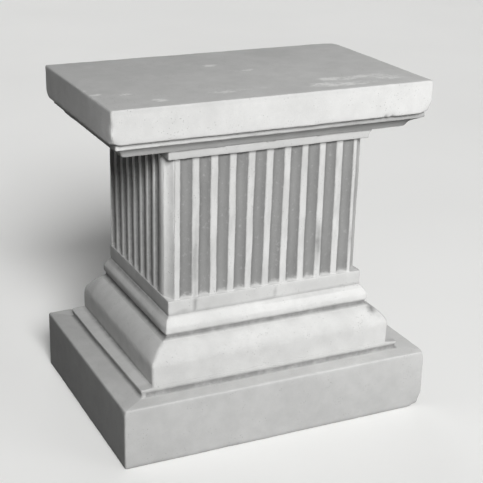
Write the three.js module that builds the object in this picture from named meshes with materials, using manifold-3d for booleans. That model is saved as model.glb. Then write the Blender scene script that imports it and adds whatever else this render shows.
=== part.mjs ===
import * as THREE from 'three';
import Module from 'manifold-3d';
import { mergeVertices } from 'three/addons/utils/BufferGeometryUtils.js';

// A fluted pedestal column cast in one piece of concrete.
// Millimetres, +Z up. The origin is the centre of the underside.
// X runs along the long face, and the front long face looks towards -Y.

// Driving sizes
const HEIGHT = 500;
const SLAB = { length: 482, depth: 286, thickness: 47 };
const PLINTH = { length: 482, depth: 353, height: 90.5 };
const CORE = { length: 308, depth: 240 };
const EDGE_ROUND = 4;
const CURVE_STEPS = 6;

// Heights of the moulding lines above the ground
const STEP_RECESS_TOP = 97;
const STEP_LIP_BOTTOM = 99.5;
const STEP_TOP = 103;
const CYMA_FOOT = 104.5;
const CYMA_BEND = 137;
const CYMA_TOP = 161;
const GROOVE_BOTTOM = 164.5;
const GROOVE_TOP = 168;
const TORUS_BOTTOM = 171;
const TORUS_BEND = 180;
const TORUS_TOP = 193.5;
const LEDGE_TOP = 215;
const BAND_BOTTOM = 419;
const SOFFIT = 431.5;
const UNDERMOULDING_TOP = 443.5;
const LISTEL_BOTTOM = 444.5;

// How far each base moulding stands out from the core, on the short sides (x) and the long sides (y)
const PLINTH_OUT = { x: (PLINTH.length - CORE.length) / 2, y: (PLINTH.depth - CORE.depth) / 2 };
const STEP_OUT = { x: 53, y: 30.5 };
const CYMA_FOOT_OUT = { x: 35, y: 29.8 };
const CYMA_BEND_OUT = { x: 36, y: 30 };
const CYMA_TOP_OUT = { x: 12.5, y: 10.5 };
const TORUS_OUT = { x: 9, y: 9 };
const CORE_FACE = { x: 0, y: 0 };
const STEP_RECESS = 1.5;
const GROOVE_DEPTH = 2.5;

// How far the mouldings under the slab are set back from the slab's faces
const LISTEL_SETBACK = 8.5;
const UPPER_SETBACK = 12.5;
const LOWER_SETBACK = 21;

// How far each sloping moulding bulges from a straight line, at 0, to a quarter ellipse, at 1
const CYMA_BULGE = 0.42;
const TORUS_BULGE = 0.3;
const UNDERMOULDING_BULGE = 0.35;

// Fluted shaft
const SHAFT = { length: 306, depth: 235 };
const SHAFT_EMBED = 2.5;
const FLUTE_SEGMENTS = 6;
const FLUTE_END_RISE = 3.5;
const LONG_FACE = { flutes: 10, pitch: 27.7, fillet: 9.9, centre: -2, depth: 6 };
const SHORT_FACE = { flutes: 8, pitch: 25.6, fillet: 9, centre: 16.7, depth: 6 };
const FRONT_LEFT_CUT = { x: 9, y: 20 };
const FRONT_RIGHT_CUT = { x: 16, y: 18 };
const CORNER_HOLLOW = 1.5;

// Cast concrete, pale grey and matt
const concrete = new THREE.MeshStandardMaterial({ color: 0xc9c9c7, roughness: 0.92, metalness: 0 });

// One level of a moulded block: half sizes and height
function level(halfX, halfY, z) {
  return { halfX, halfY, z };
}

// A level that stands out from the core by out.x and out.y
function outFromCore(out, z, inset = 0) {
  return level(CORE.length / 2 + out.x - inset, CORE.depth / 2 + out.y - inset, z);
}

// A level that is set back from the slab's faces on all four sides
function backFromSlab(setback, z) {
  return level(SLAB.length / 2 - setback, SLAB.depth / 2 - setback, z);
}

// Levels along a sloping moulding. A bulge of 0 gives a straight line, and 1 gives a quarter ellipse.
function bulgedSlope(from, to, bulge) {
  const levels = [];
  for (let i = 0; i <= CURVE_STEPS; i += 1) {
    const share = i / CURVE_STEPS;
    const angle = share * (Math.PI / 2);
    const across = THREE.MathUtils.lerp(share, 1 - Math.cos(angle), bulge);
    const up = THREE.MathUtils.lerp(share, Math.sin(angle), bulge);
    levels.push(level(
      THREE.MathUtils.lerp(from.halfX, to.halfX, across),
      THREE.MathUtils.lerp(from.halfY, to.halfY, across),
      THREE.MathUtils.lerp(from.z, to.z, up),
    ));
  }
  return levels;
}

// Closed mesh through rings of points, each ring anticlockwise seen from above and all of one length
function loft(rings) {
  const count = rings[0].length;
  const positions = rings.flat().flatMap((point) => [point.x, point.y, point.z]);
  const indices = [];
  for (let ring = 0; ring < rings.length - 1; ring += 1) {
    for (let i = 0; i < count; i += 1) {
      const next = (i + 1) % count;
      const a = ring * count + i;
      const b = ring * count + next;
      indices.push(a, b, b + count);
      indices.push(a, b + count, a + count);
    }
  }
  const lastRing = (rings.length - 1) * count;
  for (const [a, b, c] of THREE.ShapeUtils.triangulateShape(rings[0].map(flatten), [])) {
    indices.push(a, c, b);
  }
  for (const [a, b, c] of THREE.ShapeUtils.triangulateShape(rings.at(-1).map(flatten), [])) {
    indices.push(lastRing + a, lastRing + b, lastRing + c);
  }
  const geometry = new THREE.BufferGeometry();
  geometry.setAttribute('position', new THREE.Float32BufferAttribute(positions, 3));
  geometry.setIndex(indices);
  return geometry;
}

function flatten(point) {
  return new THREE.Vector2(point.x, point.y);
}

// Rectangular block whose four sides follow the same moulding, with mitred corners
function mouldedBlock(levels) {
  return loft(levels.map(({ halfX, halfY, z }) => [
    new THREE.Vector3(-halfX, -halfY, z),
    new THREE.Vector3(halfX, -halfY, z),
    new THREE.Vector3(halfX, halfY, z),
    new THREE.Vector3(-halfX, halfY, z),
  ]));
}

// Plinth, thin step, cyma, torus and ledge, from the ground up
function baseBlock() {
  return mouldedBlock([
    outFromCore(PLINTH_OUT, 0, EDGE_ROUND / 2),
    outFromCore(PLINTH_OUT, EDGE_ROUND / 2),
    outFromCore(PLINTH_OUT, PLINTH.height - EDGE_ROUND),
    outFromCore(PLINTH_OUT, PLINTH.height, EDGE_ROUND),
    outFromCore(STEP_OUT, PLINTH.height + 0.5, STEP_RECESS),
    outFromCore(STEP_OUT, STEP_RECESS_TOP, STEP_RECESS),
    outFromCore(STEP_OUT, STEP_LIP_BOTTOM),
    outFromCore(STEP_OUT, STEP_TOP),
    outFromCore(CYMA_FOOT_OUT, CYMA_FOOT),
    ...bulgedSlope(
      outFromCore(CYMA_BEND_OUT, CYMA_BEND),
      outFromCore(CYMA_TOP_OUT, CYMA_TOP),
      CYMA_BULGE,
    ),
    outFromCore(TORUS_OUT, GROOVE_BOTTOM, GROOVE_DEPTH),
    outFromCore(TORUS_OUT, GROOVE_TOP, GROOVE_DEPTH),
    outFromCore(TORUS_OUT, TORUS_BOTTOM),
    ...bulgedSlope(outFromCore(TORUS_OUT, TORUS_BEND), outFromCore(CORE_FACE, TORUS_TOP), TORUS_BULGE),
    outFromCore(CORE_FACE, LEDGE_TOP),
  ]);
}

// Band, undermoulding and top slab, from the band up
function headBlock() {
  const slabBottom = HEIGHT - SLAB.thickness;
  return mouldedBlock([
    outFromCore(CORE_FACE, BAND_BOTTOM),
    outFromCore(CORE_FACE, SOFFIT),
    ...bulgedSlope(
      backFromSlab(LOWER_SETBACK, SOFFIT),
      backFromSlab(UPPER_SETBACK, UNDERMOULDING_TOP),
      UNDERMOULDING_BULGE,
    ),
    backFromSlab(LISTEL_SETBACK, LISTEL_BOTTOM),
    backFromSlab(LISTEL_SETBACK, slabBottom),
    backFromSlab(EDGE_ROUND, slabBottom),
    backFromSlab(0, slabBottom + EDGE_ROUND),
    backFromSlab(0, HEIGHT - EDGE_ROUND / 2),
    backFromSlab(EDGE_ROUND / 2, HEIGHT),
  ]);
}

// Points along one fluted face, in the face's own frame: u along the face, v outwards from it
function flutedEdge(face, depthShare) {
  const halfWidth = (face.pitch - face.fillet) / 2;
  const radius = (halfWidth ** 2 + face.depth ** 2) / (2 * face.depth);
  const endAngle = Math.asin(halfWidth / radius);
  const firstCentre = face.centre - ((face.flutes - 1) / 2) * face.pitch;
  const points = [];
  for (let flute = 0; flute < face.flutes; flute += 1) {
    const centre = firstCentre + flute * face.pitch;
    for (let i = 0; i <= FLUTE_SEGMENTS; i += 1) {
      const angle = THREE.MathUtils.lerp(-endAngle, endAngle, i / FLUTE_SEGMENTS);
      const sink = radius * (Math.cos(angle) - Math.cos(endAngle));
      points.push({ u: centre + radius * Math.sin(angle), v: -sink * depthShare });
    }
  }
  return points;
}

// A front corner cut off from one arris to the other, and slightly hollowed towards the middle of the shaft
function hollowCut(from, to) {
  const inwards = new THREE.Vector2(from.y - to.y, to.x - from.x).normalize();
  const points = [];
  for (let i = 0; i <= FLUTE_SEGMENTS; i += 1) {
    const share = i / FLUTE_SEGMENTS;
    const point = from.clone().lerp(to, share);
    point.addScaledVector(inwards, CORNER_HOLLOW * Math.sin(share * Math.PI));
    points.push([point.x, point.y]);
  }
  return points;
}

// Outline of the shaft, anticlockwise from the front left corner; depthShare 0 leaves the flutes out
function shaftOutline(depthShare) {
  const halfX = SHAFT.length / 2;
  const halfY = SHAFT.depth / 2;
  const long = flutedEdge(LONG_FACE, depthShare);
  const short = flutedEdge(SHORT_FACE, depthShare);
  return [
    ...hollowCut(
      new THREE.Vector2(-halfX, -halfY + FRONT_LEFT_CUT.y),
      new THREE.Vector2(-halfX + FRONT_LEFT_CUT.x, -halfY),
    ),
    ...long.map(({ u, v }) => [u, -halfY - v]),
    ...hollowCut(
      new THREE.Vector2(halfX - FRONT_RIGHT_CUT.x, -halfY),
      new THREE.Vector2(halfX, -halfY + FRONT_RIGHT_CUT.y),
    ),
    ...short.map(({ u, v }) => [halfX + v, u]),
    [halfX, halfY],
    ...long.toReversed().map(({ u, v }) => [u, halfY + v]),
    [-halfX, halfY],
    ...short.toReversed().map(({ u, v }) => [-halfX - v, u]),
  ];
}

// Shaft between ledge and band, reaching a little into both. The flutes end in a short slope at the ledge.
function flutedShaft() {
  const rings = [
    { z: LEDGE_TOP - SHAFT_EMBED, depthShare: 0 },
    { z: LEDGE_TOP, depthShare: 0 },
    { z: LEDGE_TOP + FLUTE_END_RISE, depthShare: 1 },
    { z: BAND_BOTTOM + SHAFT_EMBED, depthShare: 1 },
  ];
  return loft(rings.map(({ z, depthShare }) => (
    shaftOutline(depthShare).map(([x, y]) => new THREE.Vector3(x, y, z))
  )));
}

// Joins closed meshes that reach into each other into one closed mesh
async function join(geometries) {
  const wasm = await Module();
  wasm.setup();
  const solids = geometries.map((geometry) => {
    const merged = mergeVertices(geometry);
    return new wasm.Manifold(new wasm.Mesh({
      numProp: 3,
      vertProperties: new Float32Array(merged.getAttribute('position').array),
      triVerts: new Uint32Array(merged.getIndex().array),
    }));
  });
  const mesh = solids.reduce((whole, solid) => whole.add(solid)).getMesh();
  const geometry = new THREE.BufferGeometry();
  geometry.setAttribute('position', new THREE.Float32BufferAttribute(mesh.vertProperties, 3));
  geometry.setIndex(new THREE.Uint32BufferAttribute(mesh.triVerts, 1));
  geometry.computeVertexNormals();
  return geometry;
}

const column = new THREE.Mesh(await join([baseBlock(), flutedShaft(), headBlock()]), concrete);
column.name = 'column';

const pedestal = new THREE.Group();
pedestal.add(column);

export default pedestal;
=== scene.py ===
import math

import bpy
import numpy as np
from mathutils import Matrix, Vector, noise


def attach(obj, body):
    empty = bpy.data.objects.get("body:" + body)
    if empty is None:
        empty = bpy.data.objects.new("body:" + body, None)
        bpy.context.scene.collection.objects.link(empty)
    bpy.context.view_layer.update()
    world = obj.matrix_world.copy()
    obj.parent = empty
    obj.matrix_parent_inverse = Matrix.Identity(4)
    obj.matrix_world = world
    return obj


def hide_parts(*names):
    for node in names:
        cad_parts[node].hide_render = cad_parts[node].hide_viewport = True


# A fluted pedestal column cast in one piece of weathered concrete.
# Shapes are worked out in millimetres in the frame's own axes and made in metres.
# The front is towards -Y, and left and right are -X and +X.
MM = 0.001

# Camera: a long lens from the front left, a little above the top slab
CAMERA_TURN = math.radians(24.734)
CAMERA_TILT = math.radians(21.037)
CAMERA_ROLL = math.radians(0.947)
CAMERA_AIM = Vector((0, 0, 250))
CAMERA_OFFSET = Vector((22.744, -13.154, 1770.389))
SENSOR_MM = 36
FRAME_PIXELS = 483
FOCAL_PIXELS = 1172.04
CENTRE_PIXELS = (217.84, 244.32)

# Half sizes of the casting
SLAB_HALF = (241, 143)
PLINTH_HALF = (241, 176.5)
CORE_HALF = (154, 120)
SHAFT_HALF = (153, 117.5)

# Heights where one part of the profile ends and the next begins
PLINTH_TOP = 90.5
STEP_TOP = 103
CYMA_BOTTOM = 104.5
CYMA_TOP = 161
TORUS_TOP = 193.5
LEDGE_TOP = 215
BAND_BOTTOM = 419
SOFFIT = 431.5
SLAB_BOTTOM = 453
HEIGHT = 500

# Flutes on the long and the short faces, with points across each at shares of its half angle
LONG_FACE = {"flutes": 10, "pitch": 27.7, "fillet": 9.9, "centre": -2, "depth": 6}
SHORT_FACE = {"flutes": 8, "pitch": 25.6, "fillet": 9, "centre": 16.7, "depth": 6}
FLUTE_SHARES = (-0.88, -0.5, 0, 0.5, 0.88)
FLUTE_END_RISE = 3.5
FILLET_ROUND = 1.3
ARRIS_SINK = 0.45

# How much the shaft's corners are cut off along X and Y. The front ones are hollowed between their arrises
FRONT_LEFT_CUT = (9, 20)
FRONT_RIGHT_CUT = (16, 18)
BACK_CUT = (3, 2)
CORNER_HOLLOW = 1.5

# Mesh density: points before, on and after the round of a corner, the widest gap between rings,
# and the number of rings across the underside and the top
CORNER_POINTS = (3, 5, 4)
RING_STEP = 5
SOLE_RINGS = 5
CAP_RINGS = 20

# The rings across the underside and the top: where they are counted from, in from the sides,
# how near the middle they end, and where the rounded edge of the underside begins
SOLE_INSET = 2.5
SOLE_MIDDLE = 1.5
SOLE_EDGE = 6
CAP_INSET = 7
CAP_MIDDLE = 3

# Roundness of the upright corners: on the flat ends, the cyma, the slab and plinth, and elsewhere
FLAT_CORNER = 4
CYMA_CORNER = 4.5
BLOCK_CORNER = 3
PLAIN_CORNER = 2

# How far dirt and painted crevice shade reach from the line that holds them
DIRT_AND_SHADE_REACH = 2.6


def out_from_core(out_x, out_y, inset=0.0):
    """Half sizes of the core with these amounts added, less an inset."""
    return CORE_HALF[0] + out_x - inset, CORE_HALF[1] + out_y - inset


def set_back(half, setback):
    """Half sizes reduced by a setback on every side."""
    return half[0] - setback, half[1] - setback


def level(half, z, rounding=0.0, dirt_and_shade=0.0):
    """One line of the moulding: half sizes, height, edge rounding and how much dirt and painted crevice
    shade it holds.
    """
    return (half[0], half[1], z, rounding, dirt_and_shade)


def slope(start, end, bulge, steps=6):
    """Levels from start to end on a line that bulges towards a quarter ellipse by the given share."""
    made = []
    for i in range(1, steps):
        share = i / steps
        angle = math.pi / 2 * share
        across = share + (1 - math.cos(angle) - share) * bulge
        up = share + (math.sin(angle) - share) * bulge
        half = tuple(a + (b - a) * across for a, b in zip(start[:2], end[:2]))
        made.append(level(half, start[2] + (end[2] - start[2]) * up))
    return [start, *made, end]


def base_levels():
    """Plinth, step, cyma, torus and ledge, from the underside's edge up."""
    return [
        level(PLINTH_HALF, 0, 2.5, 0.3),
        level(PLINTH_HALF, PLINTH_TOP, 3),
        # Painted shade: the recess under the step is coloured dark, as if in shadow
        level(out_from_core(53, 30.5, 1.5), 91, 0, 0.85),
        level(out_from_core(53, 30.5, 1.5), 94, 0, 0.95),
        level(out_from_core(53, 30.5, 1.5), 97, 0, 0.95),
        level(out_from_core(53, 30.5), 99.5, 1, 0.3),
        level(out_from_core(53, 30.5), STEP_TOP, 1.2),
        level(out_from_core(35, 29.8), CYMA_BOTTOM, 1.2, 0.15),
        *slope(
            level(out_from_core(36, 30), 137, 5),
            level(out_from_core(12.5, 10.5), CYMA_TOP, 1, 0.15),
            0.42,
        ),
        # Painted shadow: the band under the torus and its undercut are coloured dark
        level(out_from_core(9.5, 8.5), 162.75, 0, 0.6),
        level(out_from_core(9, 9, 2.5), 164.5, 0, 0.95),
        level(out_from_core(9, 9, 2.5), 168, 0, 0.85),
        level(out_from_core(9, 9), 171, 2.5),
        *slope(
            level(out_from_core(9, 9), 180, 1.5),
            level(out_from_core(0, 0), TORUS_TOP, 0.8, 0.45),
            0.15,
        ),
        level(out_from_core(0, 0), LEDGE_TOP, 1.4),
    ]


def head_levels():
    """Band, undermoulding and slab, from the band up."""
    return [
        # The small dirt values under the slab are partly painted shade in the creases of the band and
        # undermoulding
        level(out_from_core(0, 0), BAND_BOTTOM, 1.2, 0.2),
        level(out_from_core(0, 0), SOFFIT + 1, 0, 0.1),
        *slope(
            level(set_back(SLAB_HALF, 21), SOFFIT, 1, 0.1),
            level(set_back(SLAB_HALF, 12.5), 443.5),
            0.35,
        ),
        level(set_back(SLAB_HALF, 8.5), 444.5, 0.8),
        level(set_back(SLAB_HALF, 8.5), SLAB_BOTTOM),
        level(SLAB_HALF, SLAB_BOTTOM, 3),
        level(SLAB_HALF, HEIGHT, 3),
    ]


def rounded(levels):
    """The same levels with each rounded line replaced by a short curve.

    The values of a row are the half sizes, the height, the dirt and painted crevice shade, and how much of
    a rounded edge it is.
    """
    points = [np.array(entry, float) for entry in levels]
    made = [np.append(points[0][[0, 1, 2, 4]], 0.0)]
    for before, here, after in zip(points, points[1:], points[2:]):
        if not here[3]:
            made.append(np.append(here[[0, 1, 2, 4]], 0.0))
            continue
        starts = []
        for other in (before, after):
            run = np.linalg.norm((other - here)[:3])
            starts.append(here + (other - here) * min(here[3] / run, 0.45))
        for share in (0, 0.25, 0.5, 0.75, 1):
            bend = starts[0] * (1 - share) ** 2 + here * 2 * share * (1 - share) + starts[1] * share ** 2
            made.append(np.append(bend[[0, 1, 2, 4]], 1 - abs(2 * share - 1) * 0.6))
    made.append(np.append(points[-1][[0, 1, 2, 4]], 0.0))
    return made


def distance_between(below, above):
    """The larger of the steps between two levels in either half size or in height."""
    return np.abs((above - below)[:3]).max()


def filled_in(levels, step=RING_STEP):
    """The same levels with more between them, no further apart than step. Dirt and painted crevice shade
    fade out on either side.
    """
    made = [levels[0]]
    runs = [0.0]
    for below, above in zip(levels, levels[1:]):
        run = distance_between(below, above)
        parts = max(1, math.ceil(run / step))
        for part in range(1, parts + 1):
            made.append(below + (above - below) * part / parts)
            runs.append(runs[-1] + run / parts)
    made = np.array(made)
    runs = np.array(runs)
    sources = np.cumsum([0, *(distance_between(a, b) for a, b in zip(levels, levels[1:]))])
    strengths = np.array([entry[3] for entry in levels])
    made[:, 3] = (strengths * np.exp(-np.abs(runs[:, None] - sources) / DIRT_AND_SHADE_REACH)).max(axis=1)
    return made


def face_columns(face):
    """Columns across one fluted face: place along the face, depth below it and nearness to an arris."""
    half_width = (face["pitch"] - face["fillet"]) / 2
    radius = (half_width ** 2 + face["depth"] ** 2) / (2 * face["depth"])
    end_angle = math.asin(half_width / radius)
    first = face["centre"] - (face["flutes"] - 1) / 2 * face["pitch"]
    columns = []
    for flute in range(face["flutes"] + 1):
        centre = first + flute * face["pitch"]
        fillet_start = centre - face["pitch"] + half_width
        fillet_end = centre - half_width
        if flute == 0:
            fillet_start = -face["start"]
        if flute == face["flutes"]:
            fillet_end = face["end"]
        inner = min(FILLET_ROUND, (fillet_end - fillet_start) / 3)
        columns += [
            (fillet_start, ARRIS_SINK, 1),
            (fillet_start + inner, 0, 0.4),
            ((fillet_start + fillet_end) / 2, 0, 0),
            (fillet_end - inner, 0, 0.4),
            (fillet_end, ARRIS_SINK, 1),
        ]
        if flute == face["flutes"]:
            break
        for share in FLUTE_SHARES:
            angle = end_angle * share
            sink = radius * (math.cos(angle) - math.cos(end_angle))
            columns.append((centre + radius * math.sin(angle), sink, 0))
    return np.array(columns)


def corner_path(corner, arrive, leave, arrive_run, leave_run, radius):
    """Points round one corner, between the last column of one side and the first of the next."""
    before, arc, after = CORNER_POINTS
    corner, arrive, leave = (np.array(v, float) for v in (corner, arrive, leave))
    points = []
    for i in range(1, before + 1):
        points.append(corner - arrive * (arrive_run + (radius - arrive_run) * i / before))
    centre = corner - arrive * radius + leave * radius
    for i in range(1, arc + 1):
        angle = math.pi / 2 * i / (arc + 1)
        points.append(centre + arrive * radius * math.sin(angle) - leave * radius * math.cos(angle))
    for i in range(after):
        points.append(corner + leave * (radius + (leave_run - radius) * i / after))
    return np.array(points)


# Sides in ring order, each with the direction of travel along it and the direction it faces
FRONT, RIGHT, BACK, LEFT = range(4)
SIDES = [((1, 0), (0, -1)), ((0, 1), (1, 0)), ((-1, 0), (0, 1)), ((0, -1), (-1, 0))]

# Corners count down from -1, each named after the side that follows it
FRONT_LEFT_CORNER = -1 - FRONT
FRONT_RIGHT_CORNER = -1 - RIGHT


def side_faces():
    """The four faces in ring order, each with the distances from its middle to its first and last arris."""

    def face(pattern, axis, cut_at_start, cut_at_end, flip):
        half = SHAFT_HALF[axis]
        start = half - cut_at_start[axis]
        end = half - cut_at_end[axis]
        return dict(pattern, start=start, end=end, flip=flip, half=half)

    return [
        face(LONG_FACE, 0, FRONT_LEFT_CUT, FRONT_RIGHT_CUT, 1),
        face(SHORT_FACE, 1, FRONT_RIGHT_CUT, BACK_CUT, 1),
        face(LONG_FACE, 0, BACK_CUT, BACK_CUT, -1),
        face(SHORT_FACE, 1, FRONT_LEFT_CUT, BACK_CUT, -1),
    ]


def ring_columns():
    """Face columns of the four sides, in ring order."""
    sides = []
    for face in side_faces():
        columns = face_columns(face)
        if face["flip"] < 0:
            columns = columns[::-1] * (-1, 1, 1)
        sides.append((face, columns))
    return sides


COLUMNS = ring_columns()


def ring(half_x, half_y, corner_radius, fluted=False, depth_share=1.0, z=0.0):
    """One closed ring of points, anticlockwise seen from above, starting at the front left corner."""
    points = []
    for number, (face, columns) in enumerate(COLUMNS):
        along, outward = (np.array(v, float) for v in SIDES[number])
        half_along = half_x if number % 2 == 0 else half_y
        half_out = half_y if number % 2 == 0 else half_x
        previous, _ = SIDES[number - 1]
        corner = outward * half_out - along * half_along
        last = COLUMNS[number - 1][1][-1, 0] * (half_out / COLUMNS[number - 1][0]["half"])
        first = columns[0, 0] * (half_along / face["half"])
        if fluted and number in (FRONT, RIGHT):
            points.append(hollow_cut(corner, previous, along, half_out - last, half_along + first))
        else:
            radius = min(corner_radius, 0.7 * (half_out - last), 0.7 * (half_along + first))
            points.append(corner_path(corner, previous, along, half_out - last, half_along + first, radius))
        place = columns[:, 0] * (half_along / face["half"])
        sink = np.zeros(len(columns))
        if fluted:
            sink = columns[:, 1] * depth_share
            place = place + np.array([waver(number, u, z, edge) for u, _, edge in columns])
        points.append(np.outer(place, along) + np.outer(half_out - sink, outward))
    return np.vstack(points)


def hollow_cut(corner, arrive, leave, arrive_run, leave_run):
    """Points across a cut-off front corner, hollowed a little between its two arrises."""
    count = sum(CORNER_POINTS)
    corner, arrive, leave = (np.array(v, float) for v in (corner, arrive, leave))
    start = corner - arrive * arrive_run
    end = corner + leave * leave_run
    inward = (start + end) / 2 - corner
    inward /= np.linalg.norm(inward)
    shares = np.arange(1, count + 1) / (count + 1)
    hollow = CORNER_HOLLOW * np.sin(math.pi * shares)
    return start + np.outer(shares, end - start) + np.outer(hollow, inward)


# How far the fillets stray in a slow and a fast wave, and how the middle ones of the front lean
SLOW_WAVE = 0.8
FAST_WAVE = 0.3
LEAN_WIDTH = 45
LEAN_PIVOT = 345
LEAN_RUN = 80


def waver(side, u, z, edge):
    """How far a column strays along its face at height z: the hand-made fillets aren't quite straight."""
    slow = noise.noise(Vector((u / 9 + 31 * side, z / 55, 2.5)))
    fast = noise.noise(Vector((u / 2.5 + 17 * side, z / 24, 7.5)))
    lean = 0
    if side == FRONT:
        lean = math.exp(-(u / LEAN_WIDTH) ** 2) * (z - LEAN_PIVOT) / LEAN_RUN
    return SLOW_WAVE * slow + FAST_WAVE * edge * fast + lean


def shaft_heights():
    """Heights up the shaft and the share of their depth that the flutes have there."""
    bottom = LEDGE_TOP + FLUTE_END_RISE
    heights = [(LEDGE_TOP, 0.0), (LEDGE_TOP + 1.2, 0.5), (bottom, 1.0)]
    steps = math.ceil((BAND_BOTTOM - bottom) / RING_STEP)
    for i in range(1, steps + 1):
        heights.append((bottom + (BAND_BOTTOM - bottom) * i / steps, 1.0))
    return heights


def corner_radius(z):
    """Roundness of the upright corners at height z."""
    if CYMA_BOTTOM + 0.1 < z < CYMA_TOP:
        return CYMA_CORNER
    if z < PLINTH_TOP + 1.5 or z > SLAB_BOTTOM - 1:
        return BLOCK_CORNER
    return PLAIN_CORNER


def casting_rings():
    """All rings from the middle of the underside to the middle of the top, with their dirt, painted crevice
    shade and edges.
    """
    rings = []

    def add(points, z, dirt_and_shade=0.0, edge=0.0, shaft=0.0):
        rings.append({"points": points, "z": z, "dirt_and_shade": dirt_and_shade, "edge": edge, "shaft": shaft})

    for i in range(SOLE_RINGS):
        inset = (PLINTH_HALF[1] - SOLE_INSET - SOLE_MIDDLE) * (1 - i / SOLE_RINGS) + SOLE_INSET
        add(ring(*set_back(PLINTH_HALF, inset), FLAT_CORNER), 0)
    base = [level(set_back(PLINTH_HALF, SOLE_EDGE), 0), *base_levels()]
    base.append(level(SHAFT_HALF, LEDGE_TOP, 0, 0.3))
    for half_x, half_y, z, dirt_and_shade, edge in filled_in(rounded(base))[:-1]:
        add(ring(half_x, half_y, corner_radius(z)), z, dirt_and_shade, edge)
    for z, share in shaft_heights():
        add(ring(*SHAFT_HALF, PLAIN_CORNER, True, share, z), z, shaft=1)
    head = [level(SHAFT_HALF, BAND_BOTTOM), *head_levels()]
    head.append(level(set_back(SLAB_HALF, CAP_INSET), HEIGHT))
    for half_x, half_y, z, dirt_and_shade, edge in filled_in(rounded(head))[1:]:
        add(ring(half_x, half_y, corner_radius(z)), z, dirt_and_shade, edge)
    for i in range(1, CAP_RINGS + 1):
        inset = CAP_INSET + (SLAB_HALF[1] - CAP_INSET - CAP_MIDDLE) * i / CAP_RINGS
        add(ring(*set_back(SLAB_HALF, inset), FLAT_CORNER), HEIGHT)
    return rings


def column_values(index):
    """One value per ring point from the face columns, and none at the corners."""
    values = []
    for _, columns in COLUMNS:
        values += [np.zeros(sum(CORNER_POINTS)), columns[:, index]]
    return np.concatenate(values)


def side_numbers():
    """The number of the side or the corner that each ring point lies on."""
    numbers = []
    for number, (_, columns) in enumerate(COLUMNS):
        numbers += [np.full(sum(CORNER_POINTS), -1 - number), np.full(len(columns), number)]
    return np.concatenate(numbers)


# Worn, broken and bulging places: centre, reach and depth in millimetres, and the way the surface has moved
WORN = [
    ((241, -143, 450), 21, 5.5, (-1, 0.6, 0.8)),
    ((232, -134, 447), 14, 6.0, (1, 0, 0)),
    ((222, -124, 431), 14, 6.0, (-1, 0.2, 0.6)),
    ((154, -120, 433), 10, 6.0, (1, 0, 0)),
    ((241, -176.5, 0), 24, 5.5, (-1, 0.5, 0.7)),
    ((241, -176.5, 90), 13, 2.5, (-1, 1, -1)),
    ((-163, -129, 178), 16, 3.0, (1, 0.4, 0)),
    ((-241, -143, 478), 9, 2.2, (1, 1, 0)),
    ((-241, -143, 453), 13, 4.0, (1, 0.7, 0.8)),
    ((-241, 143, 453), 12, 2.5, (1, -1, 1)),
    ((241, 143, 500), 20, 3.0, (-1, -1, -0.3)),
    ((166, -143, 454), 4.5, 2.2, (0, 1, 1)),
    ((177, -143, 454), 4.5, 1.8, (0, 1, 1)),
    ((-241, -176.5, 90), 10, 2.2, (1, 1, -1)),
    ((-184, -146, 150), 16, 3.0, (1, 1, 0)),
    ((-182, 142, 152), 34, 4.0, (1, -1, 0)),
]

# The step swells outwards along the left side: how far, from where to where along Y, and where across it
STEP_SWELL = 3.2
SWELL_RAMP = (-125, 40)
SWELL_ACROSS = (-238, -207, -190)
SWELL_HEIGHTS = (90.4, 104.4)

# Unevenness of the cast surface: the size of each layer, its place in the noise and its depth
UNEVENNESS = [
    (70, (0, 0, 0), 0.45),
    (16, (9, 4, 1), 0.22),
    (5, (3, 8, 2), 0.14),
]

# Rounded edges and arrises are worn back by an even amount and a ragged one
EVEN_WEAR = 0.25
RAGGED_WEAR = 0.4
RAGGED_SIZE = 8


def between(values, limits):
    """Where the values lie between two limits."""
    return (values > limits[0]) & (values < limits[1])


def grid_normals(points):
    """Outward normals of a grid of rings, by central differences."""
    along = np.roll(points, -1, axis=1) - np.roll(points, 1, axis=1)
    up = np.gradient(points, axis=0)
    normals = np.cross(along, up)
    length = np.linalg.norm(normals, axis=2, keepdims=True)
    return normals / np.maximum(length, 1e-9)


def roughened(points, normals, edges):
    """The cast surface, with slow waves, small bumps and ragged edges."""
    moved = points.copy()
    rows, count, _ = points.shape
    for row in range(rows):
        for column in range(count):
            place = Vector(points[row, column])
            depth = 0
            for size, start, most in UNEVENNESS:
                depth += most * noise.noise(place / size + Vector(start))
            ragged = noise.noise(place / RAGGED_SIZE + Vector((1, 5, 7)))
            depth -= edges[row, column] * (EVEN_WEAR + RAGGED_WEAR * ragged)
            moved[row, column] += normals[row, column] * depth
    return moved


def worn(points):
    """The same points with the worn and broken places pushed in."""
    moved = points.copy()
    for centre, reach, most, way in WORN:
        distance = np.linalg.norm(points - centre, axis=2) / reach
        push = most * np.clip(1 - distance ** 2, 0, 1) ** 2
        moved += push[:, :, None] * (np.array(way, float) / np.linalg.norm(way))
    return moved


def swollen_step(points):
    """The same points with the step on the left side bowed outwards behind its front end."""
    moved = points.copy()
    x, y, z = np.moveaxis(points, 2, 0)
    across = np.interp(x, SWELL_ACROSS, (0, 1, 0))
    moved[:, :, 0] -= STEP_SWELL * np.interp(y, SWELL_RAMP, (0, 1)) * across * between(z, SWELL_HEIGHTS)
    return moved


def kept_inside(points):
    """Nothing reaches below the ground or past the casting's sizes."""
    low = (-PLINTH_HALF[0], -PLINTH_HALF[1], 0)
    high = (PLINTH_HALF[0], PLINTH_HALF[1], HEIGHT)
    return np.clip(points, low, high)


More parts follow.
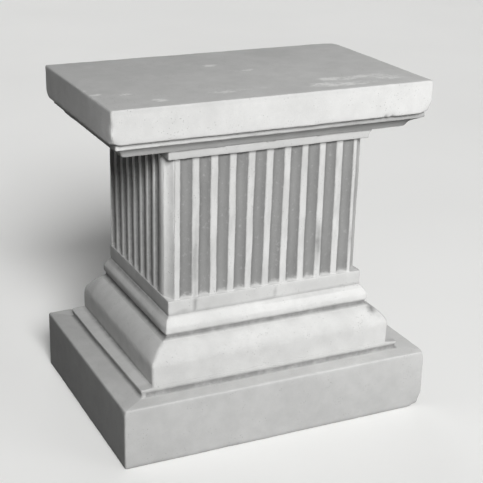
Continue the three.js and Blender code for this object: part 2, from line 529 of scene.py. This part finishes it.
# Pale scuffs on the top slab: centre, half sizes along X and Y, and strength
SCUFFS = [
    ((106, -84), 18, 9, 1.0),
    ((80, -108), 24, 9, 0.75),
    ((118, -118), 40, 9, 0.8),
    ((133, -87), 18, 9, 0.85),
    ((168, -84), 34, 9, 0.75),
    ((192, -104), 28, 9, 0.6),
    ((-19, 54), 12, 9, 0.8),
    ((-230, -57), 9, 9, 0.55),
    ((-197, -66), 12, 9, 0.6),
    ((-165, -113), 10, 9, 0.9),
    ((25, 8), 45, 9, 0.4),
    ((-60, -100), 60, 9, 0.4),
    ((-238, -40), 5, 60, 0.35),
]


def scuff_values(points):
    """Strength of the pale scuffs at each point of the top."""
    values = np.zeros(points.shape[:2])
    on_top = points[:, :, 2] > HEIGHT - 4
    for (x, y), long_half, short_half, strength in SCUFFS:
        reach = ((points[:, :, 0] - x) / long_half) ** 2 + ((points[:, :, 1] - y) / short_half) ** 2
        values = np.maximum(values, strength * np.exp(-reach))
    return values * on_top


# Dark stains, and painted shade along some creases: centre, half sizes along X, Y and Z, and strength
STAINS_AND_CREVICE_SHADE = [
    ((-114, -120, 204), (3.5, 6, 12), 0.75),
    ((-131, -121, 197), (13, 5, 2.5), 0.75),
    ((167, -135, 157), (7, 14, 7), 0.9),
    ((176, -140, 147), (6, 14, 6), 0.35),
    ((12, -120, 205), (2, 5, 9), 0.45),
    ((166, -143, 454), (2.5, 4, 2), 0.7),
    ((177, -143, 454), (2.5, 4, 2), 0.5),
    ((-107, -120, 426), (1.5, 5, 9), 0.25),
    ((-113, -118, 266), (6, 6, 60), 0.6),
    ((80, -118, 270), (6, 6, 32), 0.85),
    ((136, -118, 270), (5, 6, 18), 0.6),
    # The next four are painted shade, not stains: along the foot of the ledge on the left and front, on the
    # torus's left face and where the cyma meets the step on the left
    ((-156, 20, 192), (5, 170, 4), 0.85),
    ((75, -123, 190.5), (105, 6, 3.5), 0.42),
    ((-163, 20, 176), (4, 170, 6), 0.45),
    ((-190, 20, 105), (4, 170, 4), 0.85),
]


def stain_and_crevice_shade_values(points):
    """Strength of the separate dark stains and painted crevice shade at each point."""
    values = np.zeros(points.shape[:2])
    for centre, halves, strength in STAINS_AND_CREVICE_SHADE:
        reach = (((points - centre) / halves) ** 2).sum(axis=2)
        values = np.maximum(values, strength * np.exp(-reach))
    return values


# Brightness by height, as pairs of height and share: partly the concrete's own weathering and partly
# painted light and shade
TONES_WITH_PAINTED_SHADE = [
    # Plinth and step
    (0, 0.66), (88, 0.7), (90.3, 0.74), (90.6, 0.87), (92, 0.92), (103, 0.84),
    # Cyma and torus
    (106, 0.82), (137, 0.84), (161, 0.86), (171, 0.89), (180, 0.94), (192, 0.95),
    # Ledge, shaft and band
    (195, 0.8), (215, 0.8), (217, 0.95), (418, 0.95), (420, 0.85), (431.3, 0.85),
    # Undermoulding and listel: the undermoulding darkened as painted shade, and the listel's top under the
    # slab lightened as painted light
    (431.7, 0.62), (440, 0.64), (442.5, 0.9), (444.1, 0.9), (444.6, 0.77), (448, 0.8), (451, 1.1),
    # Slab
    (453.2, 1.1), (455, 1), (495, 1), (498, 0.9), (500, 0.815),
]

# Painted light: the cut-off front left corner is coloured lighter, most of all near its top
CUT_HEIGHTS = (230, 400)
CUT_PAINTED_LIGHT = (0.14, 0.75)

# Painted shade: the cut-off front right corner is coloured darker, as if shadowed by the fillet beside it
RIGHT_CUT_SHADE = 0.8

# Painted shade on the front edge of the step where the cyma meets it, and where that lies
STEP_FRONT_SHADE = 0.88
STEP_FRONT_HEIGHTS = (98, 105)
STEP_FRONT_Y = -140

# Share of the dirt and painted shade under the step that the left side holds, and where that lies
LEFT_RECESS_DIRT_AND_SHADE = 0.6
RECESS_HEIGHTS = (PLINTH_TOP, 99)
LEFT_RECESS_X = -200

# Painted light and shade across the width: share of brightness gained per millimetre to the right, by
# height
PAINTED_LIGHT_RIGHTWARD = [
    (194, 0.0003), (197, 0), (214, 0), (217, 0.0003), (419, 0.0003),
    (421, 0.0001), (431, 0.0001), (433, -0.001), (452, -0.001), (454, 0.0003),
]

# Painted light: share of brightness gained per millimetre to the front
PAINTED_LIGHT_FRONTWARD = 0.0007

# Painted light and shade on the left side, by height: the fillets lightened under the slab's shadow, and
# the base's faces lightened or darkened
LEFT_FILLET_PAINTED_LIGHT = [(240, 1.12), (330, 1.27), (405, 2.2)]
LEFT_BASE_PAINTED_LIGHT = [
    (0, 0.79), (88, 0.81), (91, 0.87), (98, 0.92), (103, 0.98),
    (106, 1.1), (136, 1.1), (143, 0.96), (200, 0.97),
]

# Painted light: the slab's left side lighter towards the front, and the ledge lighter towards the right
LEFT_SLAB_PAINTED_LIGHT = [(-143, 1.32), (-40, 1.08), (60, 0.97)]
LEDGE_PAINTED_LIGHT = [(-150, 1.01), (-60, 0.97), (0, 1.06), (110, 1.07)]

# How much grimy streaking the fillets show from left to right
STREAK_SHARES = [(-132, 0.3), (-122, 1.0)]

# How much grime the flutes hold on the front, right, back and left side
FLUTE_GRIME = (1.0, 0.6, 0.75, 0.5)

# The flutes are fully grimy this deep, and grime begins to show over this height above the ledge
FULL_GRIME_DEPTH = 1.1
CLEAN_FOOT = 4.5

# A place on the shaft that is less deep than this belongs to a fillet
FILLET_DEPTH = 0.5


def by_table(values, table):
    """The table's second column at the given values of its first."""
    places, shares = zip(*table)
    return np.interp(values, places, shares)


def share_where(place, share):
    """The share where the place holds, and 1 elsewhere."""
    return np.where(place, share, 1)


def ring_values(rings, name):
    """One named value per ring, as a column."""
    return np.array([r[name] for r in rings])[:, None]


def tone_and_painted_light_values(rings, points):
    """Brightness at each point of the grid: the concrete's own tone with painted light and shade worked in.
    """
    x, y, z = np.moveaxis(points, 2, 0)
    heights = ring_values(rings, "z")
    shaft = ring_values(rings, "shaft") > 0
    sides = side_numbers()
    left_fillets = shaft & (sides == LEFT) & (column_values(1) < FILLET_DEPTH)
    left_base = (x < x.min(axis=1, keepdims=True) + 1) & (z < LEFT_BASE_PAINTED_LIGHT[-1][0])
    left_slab = (x < 0.5 - SLAB_HALF[0]) & (z > SLAB_BOTTOM)
    ledge = between(z, (TORUS_TOP + 1, LEDGE_TOP + 1))
    step_front = between(z, STEP_FRONT_HEIGHTS) & (y < STEP_FRONT_Y)

    tone = by_table(z, TONES_WITH_PAINTED_SHADE)
    tone *= 1 + shaft * (sides == FRONT_LEFT_CORNER) * np.interp(heights, CUT_HEIGHTS, CUT_PAINTED_LIGHT)
    tone *= share_where(shaft & (sides == FRONT_RIGHT_CORNER), RIGHT_CUT_SHADE)
    tone *= share_where(left_fillets, by_table(heights, LEFT_FILLET_PAINTED_LIGHT))
    tone *= share_where(left_base, by_table(z, LEFT_BASE_PAINTED_LIGHT))
    tone *= share_where(left_slab, by_table(y, LEFT_SLAB_PAINTED_LIGHT))
    tone *= share_where(ledge, by_table(x, LEDGE_PAINTED_LIGHT))
    tone *= 1 + x * by_table(z, PAINTED_LIGHT_RIGHTWARD) - y * PAINTED_LIGHT_FRONTWARD
    tone *= share_where(step_front, STEP_FRONT_SHADE)
    return tone


def dirt_and_shade_values(rings, points):
    """Dirt and painted shade in the recesses, and the stains, at each point of the grid."""
    x, _, z = np.moveaxis(points, 2, 0)
    left_recess = between(z, RECESS_HEIGHTS) & (x < LEFT_RECESS_X)
    dirt_and_shade = ring_values(rings, "dirt_and_shade") * share_where(left_recess, LEFT_RECESS_DIRT_AND_SHADE)
    return np.maximum(dirt_and_shade, stain_and_crevice_shade_values(points))


def casting_values(rings, points):
    """What the material reads at each point of the grid, by name."""
    shaft = ring_values(rings, "shaft")
    clear = np.clip((ring_values(rings, "z") - LEDGE_TOP) / CLEAN_FOOT, 0, 1)
    grime_of_side = np.array([FLUTE_GRIME[side] if side >= 0 else 0.0 for side in side_numbers()])
    flute = np.clip(column_values(1) / FULL_GRIME_DEPTH, 0, 1) * grime_of_side
    return {
        "grime": shaft * flute * clear,
        "dirt_and_shade": dirt_and_shade_values(rings, points),
        "edge": np.maximum(ring_values(rings, "edge"), shaft * column_values(2)),
        "scuff": scuff_values(points),
        "tone": tone_and_painted_light_values(rings, points),
        "streak": shaft * clear * (1 - flute) * by_table(points[:, :, 0], STREAK_SHARES),
    }


def grid_faces(rows, count):
    """Four-sided faces between neighbouring rings, and one face across each end."""
    faces = []
    for row in range(rows - 1):
        for column in range(count):
            a = row * count + column
            b = row * count + (column + 1) % count
            faces.append((a, b, b + count, a + count))
    faces.append(tuple(reversed(range(count))))
    faces.append(tuple((rows - 1) * count + i for i in range(count)))
    return faces


def make_casting():
    """The whole pedestal as one closed mesh of rings."""
    rings = casting_rings()
    points = np.array([np.column_stack([r["points"], np.full(len(r["points"]), r["z"])]) for r in rings])
    values = casting_values(rings, points)
    points = swollen_step(points)
    points = kept_inside(worn(roughened(points, grid_normals(points), values["edge"])))
    rows, count, _ = points.shape
    mesh = bpy.data.meshes.new("pedestal_casting")
    mesh.from_pydata((points.reshape(-1, 3) * MM).tolist(), [], grid_faces(rows, count))
    mesh.shade_smooth()
    for name, grid in values.items():
        attribute = mesh.attributes.new(name, "FLOAT", "POINT")
        attribute.data.foreach_set("value", grid.astype(np.float32).ravel())
    mesh.update()
    casting = bpy.data.objects.new("pedestal_casting", mesh)
    bpy.context.scene.collection.objects.link(casting)
    return casting


class Nodes:
    """Short calls for building one material's nodes."""

    def __init__(self, name):
        self.material = bpy.data.materials.new(name)
        self.material.use_nodes = True
        self.tree = self.material.node_tree
        self.shader = self.tree.nodes["Principled BSDF"]

    def link(self, value, socket):
        """Links a node's output to the socket, or sets it to a plain value."""
        if isinstance(value, bpy.types.NodeSocket):
            self.tree.links.new(value, socket)
        else:
            socket.default_value = value

    def add(self, kind, settings=(), inputs=(), output=0):
        node = self.tree.nodes.new(kind)
        for key, value in dict(settings).items():
            setattr(node, key, value)
        for key, value in dict(inputs).items():
            self.link(value, node.inputs[key])
        return node.outputs[output]

    def place(self, scale=(1, 1, 1)):
        """The point on the object in metres, stretched by the scale."""
        point = self.add("ShaderNodeTexCoord", output="Object")
        return self.add("ShaderNodeMapping", inputs={"Vector": point, "Scale": scale})

    def value(self, name):
        """One of the mesh's own values."""
        return self.add("ShaderNodeAttribute", {"attribute_name": name}, output="Fac")

    def noise(self, scale, detail=3.0, roughness=0.55, stretch=(1, 1, 1)):
        inputs = {"Vector": self.place(stretch), "Scale": scale, "Detail": detail, "Roughness": roughness}
        return self.add("ShaderNodeTexNoise", inputs=inputs, output="Fac")

    def ramp(self, value, low, high, to_low=0.0, to_high=1.0):
        """The value from low to high taken to the range from to_low to to_high, and held at its ends."""
        inputs = {"Value": value, "From Min": low, "From Max": high, "To Min": to_low, "To Max": to_high}
        return self.add("ShaderNodeMapRange", {"clamp": True}, inputs)

    def math(self, operation, a, b=0.0):
        return self.add("ShaderNodeMath", {"operation": operation}, {0: a, 1: b})

    def mix(self, factor, a, b, blend="MIX"):
        node = self.tree.nodes.new("ShaderNodeMix")
        node.data_type = "RGBA"
        node.blend_type = blend
        self.link(factor, node.inputs["Factor"])
        self.link(a, node.inputs["A"])
        self.link(b, node.inputs["B"])
        return node.outputs["Result"]


def grey(share):
    """A grey that is very slightly warm."""
    return (share, share, share * 0.985, 1)


# Greys of the clean face, its mottling, grime, dirt and painted shade, rubbed edges and scuffs
CLEAN = 0.66
MOTTLE = 0.56
GRIME = 0.2
DIRT_AND_SHADE = 0.13
RUBBED = 0.78
SCUFF = 0.95


def mottled(n):
    """The clean face, with mottling and wide clouds."""
    mottle = n.ramp(n.noise(14, 5, 0.6), 0.35, 0.68, 0.1, 0.85)
    colour = n.mix(mottle, grey(CLEAN), grey(MOTTLE))
    clouds = n.ramp(n.noise(55, 4, 0.6), 0.4, 0.7, 0, 0.28)
    return n.mix(clouds, colour, grey(MOTTLE * 0.9))


def with_grime(n, colour):
    """Grime in the flutes, with an uneven edge."""
    uneven = n.ramp(n.noise(160, 3, 0.6), 0.3, 0.7, -0.25, 0.25)
    grime = n.math("ADD", n.value("grime"), n.math("MULTIPLY", uneven, n.value("grime")))
    lighter = n.ramp(n.noise(30, 4, 0.6, (1, 1, 0.3)), 0.35, 0.7)
    grime_colour = n.mix(lighter, grey(GRIME), grey(GRIME * 1.25))
    return n.mix(n.ramp(grime, 0.0, 0.9), colour, grime_colour)


def with_streaks(n, colour):
    """Grimy streaks that run down the fillets."""
    streaks = n.ramp(n.noise(75, 4, 0.65, (1, 1, 0.22)), 0.42, 0.68, 0, 0.34)
    return n.mix(n.math("MULTIPLY", streaks, n.value("streak")), colour, grey(GRIME * 1.5))


def with_dirt_and_shade(n, colour):
    """Broken dirt and painted shade in the recesses, and the stains."""
    broken = n.ramp(n.noise(70, 5, 0.65), 0.3, 0.7, 0.75, 1.15)
    dirt_and_shade = n.math("MULTIPLY", n.value("dirt_and_shade"), broken)
    return n.mix(n.ramp(dirt_and_shade, 0.12, 0.95, 0, 0.85), colour, grey(DIRT_AND_SHADE))


def with_rubs(n, colour):
    """Edges rubbed pale in places."""
    rub = n.math("MULTIPLY", n.value("edge"), n.ramp(n.noise(90, 4, 0.6), 0.35, 0.65))
    return n.mix(n.ramp(rub, 0.1, 0.9, 0, 0.2), colour, grey(RUBBED))


def with_scuffs(n, colour):
    """Patchy pale scuffs on the top."""
    patches = n.math("ADD", n.noise(95, 5, 0.8, (0.6, 1, 1)), n.math("MULTIPLY", n.value("scuff"), 0.26))
    strength = n.ramp(n.value("scuff"), 0.05, 0.4, 0, 0.7)
    return n.mix(n.math("MULTIPLY", n.ramp(patches, 0.56, 0.7), strength), colour, grey(SCUFF))


def pore_mask(n):
    """Small round pores, in groups."""
    cells = n.add(
        "ShaderNodeTexVoronoi", {"feature": "F1"}, {"Vector": n.place(), "Scale": 260.0}, "Distance",
    )
    groups = n.ramp(n.noise(45, 2, 0.5), 0.52, 0.62)
    return n.math("MULTIPLY", n.ramp(cells, 0.1, 0.22, 1, 0), groups)


def surface_bump(n, grain, pores):
    """Sand grain, small lumps and pores as a bump."""
    height = n.math("MULTIPLY", grain, 0.35)
    height = n.math("ADD", height, n.math("MULTIPLY", n.noise(330, 4, 0.6), 0.9))
    height = n.math("SUBTRACT", height, n.math("MULTIPLY", pores, 1.2))
    return n.add(
        "ShaderNodeBump", inputs={"Strength": 0.35, "Distance": 0.0006, "Height": height}, output="Normal",
    )


def concrete_material():
    """Pale cast concrete, built up from the clean face to the grain and the pores, with painted light and
    shade carried in by its tone and dirt values.
    """
    n = Nodes("weathered_concrete")
    colour = mottled(n)
    for layer in (with_grime, with_streaks, with_dirt_and_shade, with_rubs, with_scuffs):
        colour = layer(n, colour)
    grain = n.noise(1100, 3, 0.7)
    pores = pore_mask(n)
    colour = n.mix(n.ramp(grain, 0.35, 0.65, 0, 0.22), colour, grey(MOTTLE * 0.62))
    colour = n.mix(n.math("MULTIPLY", pores, 0.45), colour, grey(DIRT_AND_SHADE))
    # The tone value multiplies in painted light and shade as well as the concrete's own tone
    tone = n.add("ShaderNodeCombineColor", {"mode": "RGB"}, {i: n.value("tone") for i in range(3)})
    n.link(n.mix(1.0, colour, tone, "MULTIPLY"), n.shader.inputs["Base Color"])
    n.link(surface_bump(n, grain, pores), n.shader.inputs["Normal"])
    n.shader.inputs["Roughness"].default_value = 0.9
    n.shader.inputs["Specular IOR Level"].default_value = 0.25
    return n.material


def floor_material():
    """A pale matt floor."""
    n = Nodes("pale_floor")
    tone = n.mix(n.ramp(n.noise(1.3, 2, 0.5), 0.3, 0.7), grey(0.93), grey(0.9))
    n.link(tone, n.shader.inputs["Base Color"])
    n.shader.inputs["Roughness"].default_value = 0.95
    n.shader.inputs["Specular IOR Level"].default_value = 0.1
    return n.material


# Half size of the floor in metres
FLOOR_HALF = 9.0


def make_floor():
    """A wide pale floor under the pedestal, which throws no light back on it."""
    corners = [(x * FLOOR_HALF, y * FLOOR_HALF, 0) for x, y in ((-1, -1), (1, -1), (1, 1), (-1, 1))]
    mesh = bpy.data.meshes.new("floor")
    mesh.from_pydata(corners, [], [(0, 1, 2, 3)])
    mesh.materials.append(floor_material())
    floor = bpy.data.objects.new("floor", mesh)
    bpy.context.scene.collection.objects.link(floor)
    floor.visible_diffuse = False


# The lights' aim and the suns' distance from it, in metres
LIGHT_AIM = Vector((0, 0, 0.25))
SUN_DISTANCE = 4


def light_way(azimuth, elevation):
    """Direction from the pedestal towards a light. Azimuth 0 is in front, and 90 on the right."""
    turn = math.radians(azimuth)
    lift = math.radians(elevation)
    return Vector((math.sin(turn) * math.cos(lift), -math.cos(turn) * math.cos(lift), math.sin(lift)))


def add_light(data, azimuth, elevation, distance):
    """A light at this distance from the aim, pointing back at it."""
    light = bpy.data.objects.new(data.name, data)
    way = light_way(azimuth, elevation)
    light.location = LIGHT_AIM + way * distance
    light.rotation_euler = way.to_track_quat("Z", "Y").to_euler()
    bpy.context.scene.collection.objects.link(light)


def add_sun(name, spread, energy, azimuth, elevation):
    """A sun whose light comes from a disc this many degrees wide."""
    sun = bpy.data.lights.new(name, "SUN")
    sun.angle = math.radians(spread)
    sun.energy = energy
    add_light(sun, azimuth, elevation, SUN_DISTANCE)


def add_panel(name, size, energy, azimuth, elevation, distance):
    """A square light of this size in metres."""
    panel = bpy.data.lights.new(name, "AREA")
    panel.size = size
    panel.energy = energy
    add_light(panel, azimuth, elevation, distance)


def make_lights():
    """A soft key light from the front left, a weak fill from the right, a low back light and a dim room."""
    world = bpy.data.worlds.new("studio")
    world.use_nodes = True
    background = world.node_tree.nodes["Background"]
    background.inputs["Color"].default_value = (1, 1, 1, 1)
    background.inputs["Strength"].default_value = 0.06
    bpy.context.scene.world = world
    add_sun("key", spread=24, energy=3.8, azimuth=-10, elevation=32)
    add_panel("fill", size=1, energy=9, azimuth=35, elevation=15, distance=2.2)
    add_sun("back", spread=40, energy=1.2, azimuth=172, elevation=8)


def make_camera():
    """The camera in the photograph's place, with its small shift off the lens axis."""
    turn, tilt, roll = CAMERA_TURN, CAMERA_TILT, CAMERA_ROLL
    ahead = Vector((math.sin(turn) * math.cos(tilt), math.cos(turn) * math.cos(tilt), -math.sin(tilt)))
    level_right = Vector((math.cos(turn), -math.sin(turn), 0))
    level_up = level_right.cross(ahead)
    right = math.cos(roll) * level_right + math.sin(roll) * level_up
    up = -math.sin(roll) * level_right + math.cos(roll) * level_up
    place = CAMERA_AIM - right * CAMERA_OFFSET.x + up * CAMERA_OFFSET.y - ahead * CAMERA_OFFSET.z
    data = bpy.data.cameras.new("camera")
    data.sensor_width = SENSOR_MM
    data.lens = FOCAL_PIXELS / FRAME_PIXELS * SENSOR_MM
    data.shift_x = (FRAME_PIXELS / 2 - CENTRE_PIXELS[0]) / FRAME_PIXELS
    data.shift_y = (CENTRE_PIXELS[1] - FRAME_PIXELS / 2) / FRAME_PIXELS
    camera = bpy.data.objects.new("camera", data)
    turned = Matrix((right, up, -ahead)).transposed().to_4x4()
    camera.matrix_world = Matrix.Translation(place * MM) @ turned
    bpy.context.scene.collection.objects.link(camera)
    bpy.context.scene.camera = camera


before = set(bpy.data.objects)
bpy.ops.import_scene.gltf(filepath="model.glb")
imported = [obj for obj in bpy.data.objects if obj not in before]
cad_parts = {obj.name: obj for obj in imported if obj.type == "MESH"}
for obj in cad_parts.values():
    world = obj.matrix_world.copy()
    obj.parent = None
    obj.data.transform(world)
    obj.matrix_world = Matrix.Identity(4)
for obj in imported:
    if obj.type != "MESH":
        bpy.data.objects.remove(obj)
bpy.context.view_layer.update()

bpy.context.scene.view_settings.view_transform = "Standard"
make_camera()
make_lights()
make_floor()

casting = make_casting()
casting.data.materials.append(concrete_material())
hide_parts("column")
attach(casting, "root")
